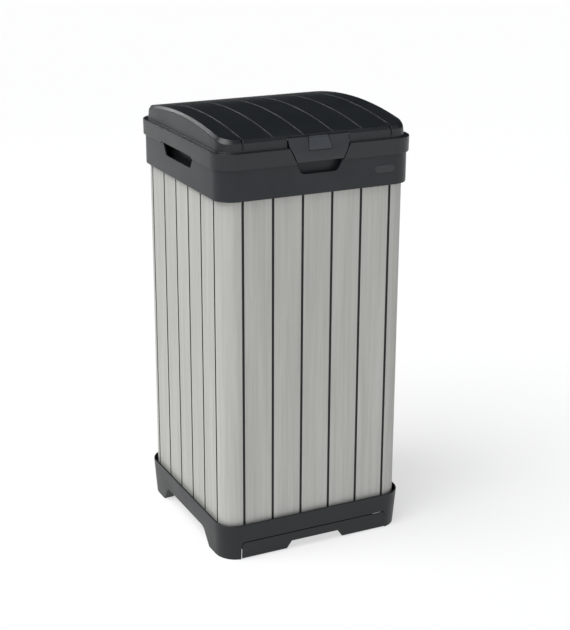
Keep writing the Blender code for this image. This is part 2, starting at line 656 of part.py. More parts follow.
def ear_outline():
    """(y, z) outline of a hinge ear: a barrel on a web from the collar's back."""
    root = COLLAR_HALF - COLLAR_SKIN / 2
    arc = [(HINGE_Y + BARREL_RADIUS * math.cos(t), HINGE_Z + BARREL_RADIUS * math.sin(t))
           for t in [math.pi / 2 - math.pi * i / 10 for i in range(11)]]
    return arc[::-1] + [(root, HINGE_Z + BARREL_RADIUS), (root, HINGE_Z - BARREL_RADIUS - EAR_ROOT)]


def make_hinge_pin(name, side, finish):
    reach = LUG_WIDTH / 2 + RUN + EAR_WIDTH
    inner, outer = side * (HINGE_X - reach - EDGE), side * (HINGE_X + reach + CLEAR)
    head = outer + side * PIN_HEAD
    steps = [(HINGE_PIN_RADIUS * 0.8, inner), (HINGE_PIN_RADIUS, inner + side * EDGE), (HINGE_PIN_RADIUS, outer),
             (HINGE_PIN_RADIUS * 1.7, outer), (HINGE_PIN_RADIUS * 1.7, head - side * PIN_HEAD * 0.3),
             (HINGE_PIN_RADIUS * 1.4, head)]
    turns = [2 * math.pi * i / PIN_SIDES for i in range(PIN_SIDES)]
    rings = [[(x, HINGE_Y + r * math.cos(t), HINGE_Z + r * math.sin(t)) for t in turns] for r, x in steps]
    return skin(name, rings, finish)


def make_badge(finish):
    return prism("badge_plate", badge_outline(0), -COLLAR_HALF, -COLLAR_HALF + BADGE_THICK, "Y", finish)


def make_bag_ring(finish):
    out, inside = WALL_HALF + RING_OUT, WALL_HALF - RING_IN
    low = DECK_Z + CLEAR
    return swept("bag_ring", [
        (out, RING_CORNER, low),
        (out, RING_CORNER, low + RING_THICK * 0.65),
        (out - EDGE, RING_CORNER - EDGE, low + RING_THICK),
        (inside + EDGE, RING_IN_CORNER + EDGE, low + RING_THICK),
        (inside, RING_IN_CORNER, low + RING_THICK * 0.65),
        (inside, RING_IN_CORNER, low),
    ], finish)


# ---------------------------------------------------------------- lid

def lid_ring(half, radius, height, end_height=None):
    """One level of the lid: height(y) along the front and back, end_height(y) along the two ends."""
    ring = []
    for x, y in outline(half, half, radius, ARCH_STEPS):
        over_x, over_y = max(0.0, abs(x) - half + radius), max(0.0, abs(y) - half + radius)
        total = over_x ** 2 + over_y ** 2
        share = over_x ** 2 / total if total else 1.0
        z = height(y)
        if end_height:
            z = z * (1 - share) + end_height(y) * share
        ring.append((x, y, z))
    return ring


def arch(y):
    """Height of the lid's top above the floor."""
    return APEX_Z - ARCH_RADIUS + math.sqrt(ARCH_RADIUS ** 2 - y ** 2)


def end_edge(y):
    """Upper edge of the lid's flat ends: it falls away faster than the top does."""
    drop = (arch(0) - END_DROP) - BAND_Z
    return arch(0) - END_DROP - drop * (y / (BAND_TOP - END_REACH)) ** 2


def flat(z):
    return lambda y: z


def lid_solid(name, levels):
    """Closed body from level rings, capped below by a flat face and above by strips that follow the arch."""
    count = len(levels[0])
    vertices = [p for ring in levels for p in ring]
    faces = []
    for k in range(len(levels) - 1):
        a, b = k * count, (k + 1) * count
        for i in range(count):
            j = (i + 1) % count
            faces.append((a + i, a + j, b + j, b + i))
    faces.append(tuple(reversed(range(count))))
    top = list(range(len(vertices) - count, len(vertices)))
    right = sorted((i for i in top if vertices[i][0] > 0), key=lambda i: vertices[i][1])
    left = sorted((i for i in top if vertices[i][0] < 0), key=lambda i: vertices[i][1])
    for k in range(len(right) - 1):
        faces.append((left[k], right[k], right[k + 1], left[k + 1]))
    return new_object(name, vertices, faces)


def make_lid(finish):
    skirt_in = SKIRT_HALF - SKIRT_SKIN
    lid = lid_solid("lid_shell", [
        lid_ring(SKIRT_HALF - CLEAR, SKIRT_CORNER, flat(SKIRT_Z)),
        lid_ring(SKIRT_HALF, SKIRT_CORNER, flat(LEDGE_Z - EDGE)),
        lid_ring(SKIRT_HALF - EDGE, SKIRT_CORNER - EDGE, flat(LEDGE_Z)),
        lid_ring(BAND_FOOT, BAND_CORNER, flat(LEDGE_Z)),
        lid_ring(BAND_TOP, BAND_CORNER, flat(BAND_Z), end_edge),
        lid_ring(TOP_HALF, BAND_CORNER - BEVEL_DEPTH, arch),
    ])
    lid.data.materials.append(finish)
    ledge_under = LEDGE_Z - SKIRT_SKIN
    hollow_top = TOP_HALF - LID_TOP_SKIN
    hollow = lid_solid("lid_hollow_tool", [
        lid_ring(BAND_FOOT - LID_SKIN, BAND_CORNER - LID_SKIN, flat(ledge_under - OVERCUT)),
        lid_ring(BAND_FOOT - LID_SKIN, BAND_CORNER - LID_SKIN, flat(ledge_under)),
        lid_ring(BAND_TOP - LID_SKIN, BAND_CORNER - LID_SKIN, flat(BAND_Z - LID_TOP_SKIN),
                 lambda y: end_edge(y) - LID_TOP_SKIN),
        lid_ring(hollow_top, BAND_CORNER - BEVEL_DEPTH - LID_SKIN, lambda y: arch(y) - LID_TOP_SKIN),
    ])
    collar_room = prism("lid_skirt_tool", outline(skirt_in, skirt_in, SKIRT_CORNER - SKIRT_SKIN + EDGE),
                        SKIRT_Z - OVERCUT, ledge_under)
    cut(lid, collar_room, hollow)
    # pocket behind the latch flap
    pocket_back = -(BAND_TOP - POCKET_DEPTH)
    pocket_half = FLAP_TOP_HALF + FLAP_GAP
    join(lid, block("pocket_tool", (-pocket_half - POCKET_WALL, -BAND_TOP + LID_SKIN / 2, ledge_under + BITE),
                    (pocket_half + POCKET_WALL, pocket_back + POCKET_WALL, BAND_Z + EDGE)))
    front = -(SKIRT_HALF + OVERCUT)
    low_half, low_z = FLAP_LOW_HALF + FLAP_GAP, SKIRT_Z + FLAP_LOW_Z
    shoulder_z = LATCH_Z - FLAP_SHOULDER
    lean = (pocket_half - low_half) / (shoulder_z - low_z)
    mouth = [(low_half - lean * (low_z - SKIRT_Z + OVERCUT), SKIRT_Z - OVERCUT), (pocket_half, shoulder_z),
             (pocket_half, LATCH_Z)]
    mouth = mouth + [(-a, b) for a, b in reversed(mouth)]
    cut(lid, prism("flap_mouth_tool", mouth, front, pocket_back, "Y"))
    cut(lid, rod("knuckle_room_tool", (LATCH_Y, LATCH_Z), KNUCKLE_RADIUS + RUN, -pocket_half, pocket_half, "X"))
    cut(lid, prism("button_room_tool", press_path(KNUCKLE_RADIUS + RUN), -BUTTON_TOP_HALF - BUTTON_GAP * 2,
                   BUTTON_TOP_HALF + BUTTON_GAP * 2, "X"))
    for side in (-1, 1):
        reach = sorted((side * (pocket_half - EDGE), side * (pocket_half + POCKET_WALL * 0.7)))
        cut(lid, rod("latch_bore_tool", (LATCH_Y, LATCH_Z), LATCH_PIN_RADIUS + CLEAR, reach[0], reach[1], "X"))
    # grooves along the top, in line with the walls' grooves; the outer two run down the front and back bands
    for i in range(PLANKS + 1):
        outer = i in (0, PLANKS)
        centre = PLANK_PITCH * (i - PLANKS / 2)
        cut(lid, prism("lid_groove_tool", groove_path(outer), centre - LID_GROOVE_WIDTH / 2,
                       centre + LID_GROOVE_WIDTH / 2, "X"))
    # reliefs in the skirt over the hand holes
    relief = tapered(HAND_TOP_HALF + RELIEF_HEIGHT, HAND_TOP_HALF, SKIRT_Z - OVERCUT, SKIRT_Z + RELIEF_HEIGHT)
    for sx in (-1, 1):
        low, high = sorted((sx * (skirt_in - OVERCUT / 2), sx * (SKIRT_HALF + OVERCUT)))
        cut(lid, prism("relief_tool", relief, low, high, "X"))
        low, high = sx * HINGE_X - LUG_WIDTH / 2, sx * HINGE_X + LUG_WIDTH / 2
        join(lid, prism("lug_tool", lug_outline(), low, high, "X"))
        cut(lid, rod("lug_bore_tool", (HINGE_Y, HINGE_Z), HINGE_PIN_RADIUS + CLEAR, low - OVERCUT,
                     high + OVERCUT, "X"))
    return lid


def press_path(radius):
    """(y, z) outline of what a round of that radius on the latch pin's axis sweeps as the button is pressed."""
    points = []
    for way, start in ((0, math.pi / 2), (1, -math.pi / 2)):
        y = LATCH_Y + way * BUTTON_TRAVEL * math.cos(SLOPE)
        z = LATCH_Z - way * BUTTON_TRAVEL * math.sin(SLOPE)
        for i in range(PIN_SIDES // 2 + 1):
            turn = start - SLOPE + math.pi * 2 * i / PIN_SIDES
            points.append((y + radius * math.cos(turn), z + radius * math.sin(turn)))
    return points


def groove_path(down_the_bands):
    """(y, z) outline of a groove's cutter: the arch at groove depth, closed above the lid."""
    steps = 16
    reach = TOP_HALF + OVERCUT
    arc = []
    for i in range(steps + 1):
        y = -reach + 2 * reach * i / steps
        arc.append((y, arch(y) - LID_GROOVE_DEPTH))
    if not down_the_bands:
        return arc + [(reach, APEX_Z + OVERCUT), (-reach, APEX_Z + OVERCUT)]
    low, side = LEDGE_Z + GROOVE_START, BAND_TOP - LID_GROOVE_DEPTH
    arc = [(y, z) for y, z in arc if abs(y) < TOP_HALF - LID_GROOVE_DEPTH]
    outside = BAND_FOOT + OVERCUT
    draft = BAND_DRAFT * 0.7
    front = [(-outside, low), (-side - draft, low), (-side + BITE, BAND_Z - EDGE)]
    back = [(-y, z) for y, z in reversed(front)]
    return front + arc + back + [(outside, APEX_Z + OVERCUT), (-outside, APEX_Z + OVERCUT)]


def lug_outline():
    """(y, z) outline of a lid lug: a barrel round the hinge pin on an arm from the skirt's back."""
    turns = [math.radians(60 - 300 * i / 14) for i in range(15)]
    arc = [(HINGE_Y + BARREL_RADIUS * math.cos(t), HINGE_Z + BARREL_RADIUS * math.sin(t)) for t in turns]
    root = SKIRT_HALF - SKIRT_SKIN / 2
    return [(root, LEDGE_Z - BARREL_RADIUS), (root, SKIRT_Z + EDGE)] + arc[::-1]


# ---------------------------------------------------------------- latch

def on_slope(down, deep):
    """(y, z) of a point on the flap's sloping face, measured down the slope from the pin's height and inwards."""
    y = -(BAND_TOP + FLAP_PROUD) - down * math.sin(SLOPE) + deep * math.cos(SLOPE)
    z = LATCH_Z - down * math.cos(SLOPE) - deep * math.sin(SLOPE)
    return y, z


def trapezoid_on_slope(name, top_half, low_half, down, length, near, far, corner=0.0, finish=None):
    """Block with a trapezoid face, square to the flap's slope, from depth near to depth far."""
    points = tapered(low_half, top_half, -(down + length), -down, corner) if corner else \
        tapered(low_half, top_half, -(down + length), -down)
    rings = [[(a,) + on_slope(-b, deep) for a, b in points] for deep in (near, far)]
    return skin(name, rings, finish)


def flap_face(z):
    """Y of the flap's face at height z: a slope out from the lid's band, then upright, level with the skirt."""
    slope_z = LATCH_Z - FLAP_SLOPE_DROP
    start = -(BAND_TOP + FLAP_PROUD)
    if z > slope_z:
        return start - FLAP_SLOPE_OUT * (LATCH_Z - z) / FLAP_SLOPE_DROP
    return start - FLAP_SLOPE_OUT - FLAP_LEAN * (slope_z - z) / (slope_z - SKIRT_Z)


def make_flap(finish):
    low_z = SKIRT_Z + FLAP_LOW_Z
    slope_z = LATCH_Z - FLAP_SLOPE_DROP
    top_z = LATCH_Z
    profile = [(flap_face(z), z) for z in (top_z, slope_z, low_z)]
    profile += [(flap_face(z) + FLAP_SKIN, z) for z in (low_z, slope_z - BITE, top_z - BITE)]
    flap = prism("latch_flap", profile, -FLAP_TOP_HALF, FLAP_TOP_HALF, "X", finish)
    join(flap, rod("knuckle_tool", (LATCH_Y, LATCH_Z), KNUCKLE_RADIUS, -FLAP_TOP_HALF, FLAP_TOP_HALF, "X"))
    shoulder_z = LATCH_Z - FLAP_SHOULDER
    lean = (FLAP_TOP_HALF - FLAP_LOW_HALF) / (shoulder_z - low_z)
    for side in (-1, 1):
        past = FLAP_LOW_HALF - lean * OVERCUT
        beyond = FLAP_TOP_HALF + 0.02
        waste = [(side * past, low_z - OVERCUT), (side * beyond, low_z - OVERCUT), (side * beyond, shoulder_z),
                 (side * FLAP_TOP_HALF, shoulder_z)]
        cut(flap, prism("flap_side_tool", waste, -(SKIRT_HALF + OVERCUT), -BAND_TOP + 0.02, "Y"))
    # cage behind the button: two cheeks and the plate that carries the spring
    cheek = BUTTON_LOW_HALF + BUTTON_GAP + EDGE
    for side in (-1, 1):
        low, high = sorted((side * cheek, side * (cheek + CAGE_WALL)))
        points = [on_slope(CAGE_START, FLAP_SKIN - BITE), on_slope(CAGE_END, FLAP_SKIN - BITE),
                  on_slope(CAGE_END, CAGE_DEPTH + CAGE_WALL), on_slope(CAGE_START, CAGE_DEPTH + CAGE_WALL)]
        join(flap, prism("cheek_tool", points, low, high, "X"))
    plate = [on_slope(CAGE_START + BITE, CAGE_DEPTH), on_slope(CAGE_END - BITE, CAGE_DEPTH),
             on_slope(CAGE_END - BITE, CAGE_DEPTH + CAGE_WALL - BITE / 2),
             on_slope(CAGE_START + BITE, CAGE_DEPTH + CAGE_WALL - BITE / 2)]
    join(flap, prism("spring_plate_tool", plate, -cheek - CAGE_WALL / 2, cheek + CAGE_WALL / 2, "X"))
    # opening for the button, through the face and the knuckle
    cut(flap, trapezoid_on_slope("button_well_tool", BUTTON_TOP_HALF + BUTTON_GAP, BUTTON_LOW_HALF + BUTTON_GAP,
                                 -WELL_RISE, BUTTON_LENGTH + BUTTON_TOP + BUTTON_GAP + WELL_RISE, -OVERCUT,
                                 WELL_DEPTH, BUTTON_CORNER))
    # nib that engages under the collar's catch bar
    nib_top = SKIRT_Z + CATCH_RISE - CLEAR
    join(flap, block("nib_tool", (-NIB_HALF, flap_face(nib_top) + FLAP_SKIN / 2, nib_top - 0.004),
                     (NIB_HALF, -(COLLAR_HALF + NIB_GAP), nib_top)))
    for side in (-1, 1):
        reach = sorted((side * (FLAP_TOP_HALF + 0.002), side * (FLAP_TOP_HALF - 0.020)))
        cut(flap, rod("flap_bore_tool", (LATCH_Y, LATCH_Z), LATCH_PIN_RADIUS + CLEAR, reach[0], reach[1], "X"))
    return flap


def make_latch_pin(name, side, finish):
    pocket_half = FLAP_TOP_HALF + FLAP_GAP
    low, high = sorted((side * (FLAP_TOP_HALF - 0.018), side * (pocket_half + POCKET_WALL * 0.7 - CLEAR)))
    return rod(name, (LATCH_Y, LATCH_Z), LATCH_PIN_RADIUS, low, high, "X", finish, 16)


def make_button(finish):
    button = trapezoid_on_slope("release_button", BUTTON_TOP_HALF, BUTTON_LOW_HALF, BUTTON_TOP, BUTTON_LENGTH,
                                -BUTTON_PROUD, BUTTON_THICK, BUTTON_CORNER, finish)
    centre = (CAGE_START + CAGE_END) / 2
    turns = [2 * math.pi * i / STEM_SIDES for i in range(STEM_SIDES)]
    rings = [[(BUTTON_STEM * math.cos(t),) + on_slope(centre + BUTTON_STEM * math.sin(t), deep) for t in turns]
             for deep in (BUTTON_THICK - EDGE, CAGE_DEPTH - BUTTON_TRAVEL - BUTTON_GAP)]
    join(button, skin("button_stem_tool", rings))
    join(button, rod("button_cap_tool", (LATCH_Y, LATCH_Z), KNUCKLE_RADIUS, -BUTTON_TOP_HALF, BUTTON_TOP_HALF, "X"))
    return button


def coil(name, point_at, turns, radius, wire, finish, sides=6, steps=12):
    """A coil of round wire; point_at(t) gives the middle, the two cross directions and the way along."""
    rings = []
    total = int(turns * steps)
    for k in range(total + 1):
        t = k / total
        middle, across, up, along = point_at(t)
        turn = 2 * math.pi * turns * t
        out = across * math.cos(turn) + up * math.sin(turn)
        centre = middle + out * radius
        rings.append([tuple(centre + out * wire * math.cos(2 * math.pi * i / sides)
                            + along * wire * math.sin(2 * math.pi * i / sides)) for i in range(sides)])
    return skin(name, rings, finish)


def make_button_spring(finish):
    start, end = BUTTON_THICK + CLEAR + SPRING_WIRE, CAGE_DEPTH - CLEAR - SPRING_WIRE
    middle_down = (CAGE_START + CAGE_END) / 2
    along = Vector((0, math.cos(SLOPE), -math.sin(SLOPE)))
    up = Vector((0, math.sin(SLOPE), math.cos(SLOPE)))

    def point_at(t):
        y, z = on_slope(middle_down, start + (end - start) * t)
        return Vector((0, y, z)), Vector((1, 0, 0)), up, along

    return coil("button_spring", point_at, 4, BUTTON_SPRING_RADIUS, SPRING_WIRE, finish)


def main():
    clear_scene()

    def light(node):
        return material(node + "_resin", LIGHT, 0.6)

    def dark(node, roughness=0.42):
        return material(node + "_resin", DARK, roughness)

    def steel(node):
        return material(node + "_steel", STEEL, 0.3, 1.0)

    for node, side in (("wall_front", -1), ("wall_back", 1)):
        wrap_panel(node, side, light(node))
    for node, side in (("wall_left", -1), ("wall_right", 1)):
        flat_panel(node, side, light(node))
    make_base(dark("base"))
    make_floor_pan(dark("floor_pan", 0.5))
    corners = {"front_left": (-1, -1), "front_right": (1, -1), "back_left": (-1, 1), "back_right": (1, 1)}
    for place, (sx, sy) in corners.items():
        node = "base_screw_" + place
        make_base_screw(node, (sx * BOSS_AT, sy * BOSS_AT), steel(node))
    make_collar(dark("collar"))
    make_badge(dark("badge_plate", 0.3))
    for node, side in (("tray_runner_left", -1), ("tray_runner_right", 1)):
        make_runner(node, side, dark(node, 0.5))

    tray_axis = axis_empty("tray_slide", (0, -BASE_HALF, TRAY_FLANGE_Z))
    hang(make_tray(dark("drip_tray", 0.45)), tray_axis)
    ring_axis = axis_empty("ring_lift", (0, 0, DECK_Z))
    hang(make_bag_ring(dark("bag_ring", 0.5)), ring_axis)

    lid_axis = axis_empty("lid_hinge", (0, HINGE_Y, HINGE_Z))
    hang(make_lid(dark("lid_shell")), lid_axis)
    for node, side in (("hinge_pin_left", -1), ("hinge_pin_right", 1)):
        make_hinge_pin(node, side, steel(node))

    latch_axis = axis_empty("latch_hinge", (0, LATCH_Y, LATCH_Z))
    hang(latch_axis, lid_axis)
    hang(make_flap(dark("latch_flap", 0.40)), latch_axis)
    for node, side in (("latch_pin_left", -1), ("latch_pin_right", 1)):
        hang(make_latch_pin(node, side, steel(node)), lid_axis)
    hang(make_button(dark("release_button", 0.38)), latch_axis)
    hang(make_button_spring(steel("button_spring")), latch_axis)


main()
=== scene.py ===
"""Looks of the litter bin: rounded edges on the moulded pieces, grained planks, satin dark resin and zinc.

Metres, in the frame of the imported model: the origin is on the floor under the bin, +Z is up and the front
faces -Y.
"""
import json
import math

import bmesh
import bpy
from mathutils import Matrix, Vector


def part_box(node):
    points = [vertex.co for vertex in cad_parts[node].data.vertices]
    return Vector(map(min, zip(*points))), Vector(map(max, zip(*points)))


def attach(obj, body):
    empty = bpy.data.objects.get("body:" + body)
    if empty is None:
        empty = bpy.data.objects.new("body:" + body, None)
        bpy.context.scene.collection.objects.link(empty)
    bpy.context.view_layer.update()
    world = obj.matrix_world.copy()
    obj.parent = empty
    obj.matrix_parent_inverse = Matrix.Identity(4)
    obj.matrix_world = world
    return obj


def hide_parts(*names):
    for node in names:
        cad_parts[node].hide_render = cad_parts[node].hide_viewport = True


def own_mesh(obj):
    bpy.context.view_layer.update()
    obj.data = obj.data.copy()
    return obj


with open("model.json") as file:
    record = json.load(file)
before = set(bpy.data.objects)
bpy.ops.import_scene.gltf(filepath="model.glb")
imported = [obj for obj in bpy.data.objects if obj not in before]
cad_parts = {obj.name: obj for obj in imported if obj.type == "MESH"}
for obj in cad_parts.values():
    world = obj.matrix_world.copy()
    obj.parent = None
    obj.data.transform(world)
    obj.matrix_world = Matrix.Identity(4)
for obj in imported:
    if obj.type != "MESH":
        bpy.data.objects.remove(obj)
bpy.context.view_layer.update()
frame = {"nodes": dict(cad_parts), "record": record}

# Edge rounding of the moulded pieces, metres
WALL_EDGE = 0.0007
RESIN_EDGE = 0.0009
COLLAR_EDGE = 0.0005
SMALL_EDGE = 0.0004
HELD_BACK = ("base",)       # nodes whose rounding is held where edges lie close together
ROUNDING_STEPS = 2
SHARP_FROM = 24            # degrees between faces at which an edge is rounded
FLAT_WITHIN = 0.5          # degrees between faces that are one face
WELD = 0.00001
# which faces of a wall take the painted groove shade
BEHIND_FACE = (0.0001, 0.0030)    # how far groove faces lie behind a wall's face
UPRIGHT_WITHIN = 0.5              # most upward share of the normal that a groove face has

# Colours, linear
WALL_COLOUR = (0.455, 0.455, 0.428)
WALL_DARK_GRAIN = (0.335, 0.333, 0.308)
# painted shade for the walls' grooves and rounded edges: the dark colour and its lighter patches
GROOVE_PAINTED_SHADE = (0.014, 0.015, 0.015)
GROOVE_PAINTED_SHADE_PATCHES = (0.026, 0.026, 0.025)
RESIN_COLOUR = (0.0095, 0.0115, 0.0132)
RESIN_PALE = (0.0140, 0.0162, 0.0182)
BUTTON_TINT, LATCH_TINT, COLLAR_TINT, BASE_TINT, LID_TINT, BADGE_TINT = 3.0, 1.4, 1.5, 0.72, 0.9, 1.3
STEEL_COLOUR = (0.58, 0.58, 0.59)
STEEL_DULL = (0.42, 0.42, 0.43)

# Grain: how many noise cells a metre holds along each axis
WALL_FIGURE = (34, 34, 2.0)
WALL_STREAKS = (150, 150, 3.2)
WALL_FIBRES = (620, 620, 16)
# noise cells of the lighter patches in the grooves' painted shade
GROOVE_SHADE_NOISE = (160, 160, 12)
RESIN_SCUFFS = (22, 90, 60)
TURNING_MARKS = (2600, 90, 90)
STIPPLE = 1500.0
CLOUD = 14.0
SPANGLE = 420.0

# Depth of the bump that grain makes, metres
STREAK_DEPTH = 0.00035
FIBRE_DEPTH = 0.00015
STIPPLE_DEPTH = 0.00006
FINE_STIPPLE_DEPTH = 0.00003
# bump of the patches in the grooves' painted shade
GROOVE_SHADE_BUMP_DEPTH = 0.0002
MARK_DEPTH = 0.00003

# Studio
CAMERA_PLACE = (-1.220, -2.544, 1.395)
CAMERA_TURN = -26.14       # degrees about Z from looking along +Y
CAMERA_DOWN = 18.92        # degrees below level
CAMERA_ROLL = 0.24
LENS = 82.9
SENSOR = 36.0
FLOOR_HALF = 40.0
FLOOR_DROP = 0.0005
FLOOR_GLOW = 0.62
FLOOR_COLOUR = 0.36
KEY_FROM = (-0.56, -0.06, 0.85)
KEY_STRENGTH = 3.2
KEY_WIDTH = 50             # degrees
ROOM = (0.024, 0.029, 0.034)
FRONT_GLOW = (0.80, 0.81, 0.84)
FRONT_FROM, FRONT_FULL = 0.10, 0.50       # how far round to the front the glow starts and is whole
GLOW_FADES, GLOW_GONE = 0.50, 0.86        # how high in the room it fades and ends
RIM_PLACE = (-1.05, 2.70, 1.95)
RIM_AIM = (0.0, 0.0, 0.80)
RIM_SIZE = (1.5, 0.5)
RIM_POWER = 17.0


# ---------------------------------------------------------------- materials

def new_material(name):
    made = bpy.data.materials.new(name)
    made.use_nodes = True
    return made, made.node_tree.nodes, made.node_tree.links, made.node_tree.nodes["Principled BSDF"]


def stretched_coordinates(nodes, links, scale):
    """The object's own coordinates, scaled along each axis."""
    place = nodes.new("ShaderNodeTexCoord")
    stretch = nodes.new("ShaderNodeMapping")
    stretch.inputs["Scale"].default_value = scale
    links.new(place.outputs["Object"], stretch.inputs["Vector"])
    return stretch.outputs["Vector"]


def noise(nodes, links, vector, scale, detail=2.0, roughness=0.5, distortion=0.0):
    made = nodes.new("ShaderNodeTexNoise")
    made.inputs["Scale"].default_value = scale
    made.inputs["Detail"].default_value = detail
    made.inputs["Roughness"].default_value = roughness
    made.inputs["Distortion"].default_value = distortion
    links.new(vector, made.inputs["Vector"])
    return made.outputs["Fac"]


def spread(nodes, links, value, low, high, to_low, to_high):
    """Maps a value from one range to another, held inside the second."""
    made = nodes.new("ShaderNodeMapRange")
    for socket, number in (("From Min", low), ("From Max", high), ("To Min", to_low), ("To Max", to_high)):
        made.inputs[socket].default_value = number
    links.new(value, made.inputs["Value"])
    return made.outputs["Result"]


def blend_colours(nodes, links, factor, first, second):
    made = nodes.new("ShaderNodeMix")
    made.data_type = "RGBA"
    for index, colour in ((6, first), (7, second)):
        if isinstance(colour, tuple):
            made.inputs[index].default_value = (*colour, 1.0)
        else:
            links.new(colour, made.inputs[index])
    links.new(factor, made.inputs[0])
    return made.outputs[2]


def bump(nodes, links, height, depth, strength, below=None):
    made = nodes.new("ShaderNodeBump")
    made.inputs["Distance"].default_value = depth
    made.inputs["Strength"].default_value = strength
    links.new(height, made.inputs["Height"])
    if below:
        links.new(below, made.inputs["Normal"])
    return made.outputs["Normal"]


def wall_material():
    """Matt resin moulded with an upright wood grain: broad figure, streaks and fine fibres."""
    made, nodes, links, shader = new_material("wall_resin_grained")
    figure = noise(nodes, links, stretched_coordinates(nodes, links, WALL_FIGURE), 1.0, 3.0, 0.55, 0.8)
    streaks = noise(nodes, links, stretched_coordinates(nodes, links, WALL_STREAKS), 1.0, 3.0, 0.6, 0.3)
    fibres = noise(nodes, links, stretched_coordinates(nodes, links, WALL_FIBRES), 1.0, 2.0, 0.6)
    toned = blend_colours(nodes, links, spread(nodes, links, figure, 0.32, 0.68, 0.0, 0.42),
                          WALL_COLOUR, WALL_DARK_GRAIN)
    streaked = blend_colours(nodes, links, spread(nodes, links, streaks, 0.42, 0.70, 0.0, 0.55),
                             toned, WALL_DARK_GRAIN)
    fibred = blend_colours(nodes, links, spread(nodes, links, fibres, 0.50, 0.78, 0.0, 0.35),
                           streaked, WALL_DARK_GRAIN)
    links.new(fibred, shader.inputs["Base Color"])
    links.new(spread(nodes, links, streaks, 0.3, 0.7, 0.56, 0.68), shader.inputs["Roughness"])
    broad = bump(nodes, links, streaks, STREAK_DEPTH, 0.55)
    links.new(bump(nodes, links, fibres, FIBRE_DEPTH, 0.45, broad), shader.inputs["Normal"])
    shader.inputs["Specular IOR Level"].default_value = 0.42
    return made


def resin_material(name, roughness, grain_depth=STIPPLE_DEPTH, tint=1.0, shine=0.5):
    """Satin dark resin: a fine moulded stipple, uneven gloss and a little dust."""
    made, nodes, links, shader = new_material(name)
    plain = stretched_coordinates(nodes, links, (1, 1, 1))
    stipple = noise(nodes, links, plain, STIPPLE, 2.0, 0.6)
    cloud = noise(nodes, links, plain, CLOUD, 4.0, 0.62)
    scuffs = noise(nodes, links, stretched_coordinates(nodes, links, RESIN_SCUFFS), 1.0, 5.0, 0.7, 1.2)
    base = tuple(c * tint for c in RESIN_COLOUR)
    pale = tuple(c * tint for c in RESIN_PALE)
    dusted = blend_colours(nodes, links, spread(nodes, links, cloud, 0.35, 0.75, 0.0, 0.8), base, pale)
    scuffed = blend_colours(nodes, links, spread(nodes, links, scuffs, 0.66, 0.80, 0.0, 0.45), dusted, pale)
    links.new(scuffed, shader.inputs["Base Color"])
    links.new(spread(nodes, links, cloud, 0.3, 0.7, roughness - 0.03, roughness + 0.04),
              shader.inputs["Roughness"])
    links.new(bump(nodes, links, stipple, grain_depth, 0.5), shader.inputs["Normal"])
    shader.inputs["Specular IOR Level"].default_value = shine
    return made


def groove_shade_material():
    """Painted shade at the bottom of the walls' grooves and on their rounded edges, in uneven lighter
    patches.
    """
    made, nodes, links, shader = new_material("wall_groove_painted_shade")
    # noise that breaks the painted shade into lighter patches
    shade_patches = noise(nodes, links, stretched_coordinates(nodes, links, GROOVE_SHADE_NOISE), 1.0, 3.0, 0.6)
    links.new(blend_colours(nodes, links, spread(nodes, links, shade_patches, 0.4, 0.75, 0.0, 1.0),
                            GROOVE_PAINTED_SHADE, GROOVE_PAINTED_SHADE_PATCHES), shader.inputs["Base Color"])
    links.new(spread(nodes, links, shade_patches, 0.3, 0.7, 0.62, 0.8), shader.inputs["Roughness"])
    links.new(bump(nodes, links, shade_patches, GROOVE_SHADE_BUMP_DEPTH, 0.4), shader.inputs["Normal"])
    return made


def steel_material(name):
    """Bright zinc on small hardware: spangle in the colour and fine turning marks in the gloss."""
    made, nodes, links, shader = new_material(name)
    spangle = noise(nodes, links, stretched_coordinates(nodes, links, (1, 1, 1)), SPANGLE, 3.0, 0.6)
    marks = noise(nodes, links, stretched_coordinates(nodes, links, TURNING_MARKS), 1.0, 2.0, 0.5)
    links.new(blend_colours(nodes, links, spread(nodes, links, spangle, 0.35, 0.65, 0.0, 1.0),
                            STEEL_COLOUR, STEEL_DULL), shader.inputs["Base Color"])
    links.new(spread(nodes, links, marks, 0.3, 0.7, 0.24, 0.42), shader.inputs["Roughness"])
    links.new(bump(nodes, links, marks, MARK_DEPTH, 0.4), shader.inputs["Normal"])
    shader.inputs["Metallic"].default_value = 1.0
    return made


# ---------------------------------------------------------------- pieces

def cleaned_mesh(node):
    """A copy of a node's mesh with its flat faces whole again."""
    mesh = frame["nodes"][node].data.copy()
    mesh.name = node + "_rounded"
    work = bmesh.new()
    work.from_mesh(mesh)
    bmesh.ops.remove_doubles(work, verts=work.verts, dist=WELD)
    bmesh.ops.dissolve_limit(work, angle_limit=math.radians(FLAT_WITHIN), verts=work.verts, edges=work.edges)
    bmesh.ops.connect_verts_concave(work, faces=[face for face in work.faces if len(face.verts) > 4])
    bmesh.ops.recalc_face_normals(work, faces=work.faces)
    work.to_mesh(mesh)
    work.free()
    for name in ("custom_normal", "sharp_edge", "sharp_face"):
        if name in mesh.attributes:
            mesh.attributes.remove(mesh.attributes[name])
    mesh.shade_smooth()
    return mesh


def finished_object(name, mesh, finish):
    """A new object in the scene with one material."""
    made = bpy.data.objects.new(name, mesh)
    bpy.context.scene.collection.objects.link(made)
    mesh.materials.clear()
    mesh.materials.append(finish)
    return made


def rounded_piece(node, body, finish, width):
    """A visible piece in the place of a node, with its edges rounded."""
    made = finished_object(node + "_rounded", cleaned_mesh(node), finish)
    rounding = made.modifiers.new("Rounded edges", "BEVEL")
    rounding.width = width
    rounding.segments = ROUNDING_STEPS
    rounding.limit_method = "ANGLE"
    rounding.angle_limit = math.radians(SHARP_FROM)
    rounding.use_clamp_overlap = node in HELD_BACK
    rounding.miter_outer = "MITER_ARC"
    rounding.harden_normals = True
    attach(made, body)
    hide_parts(node)
    return made


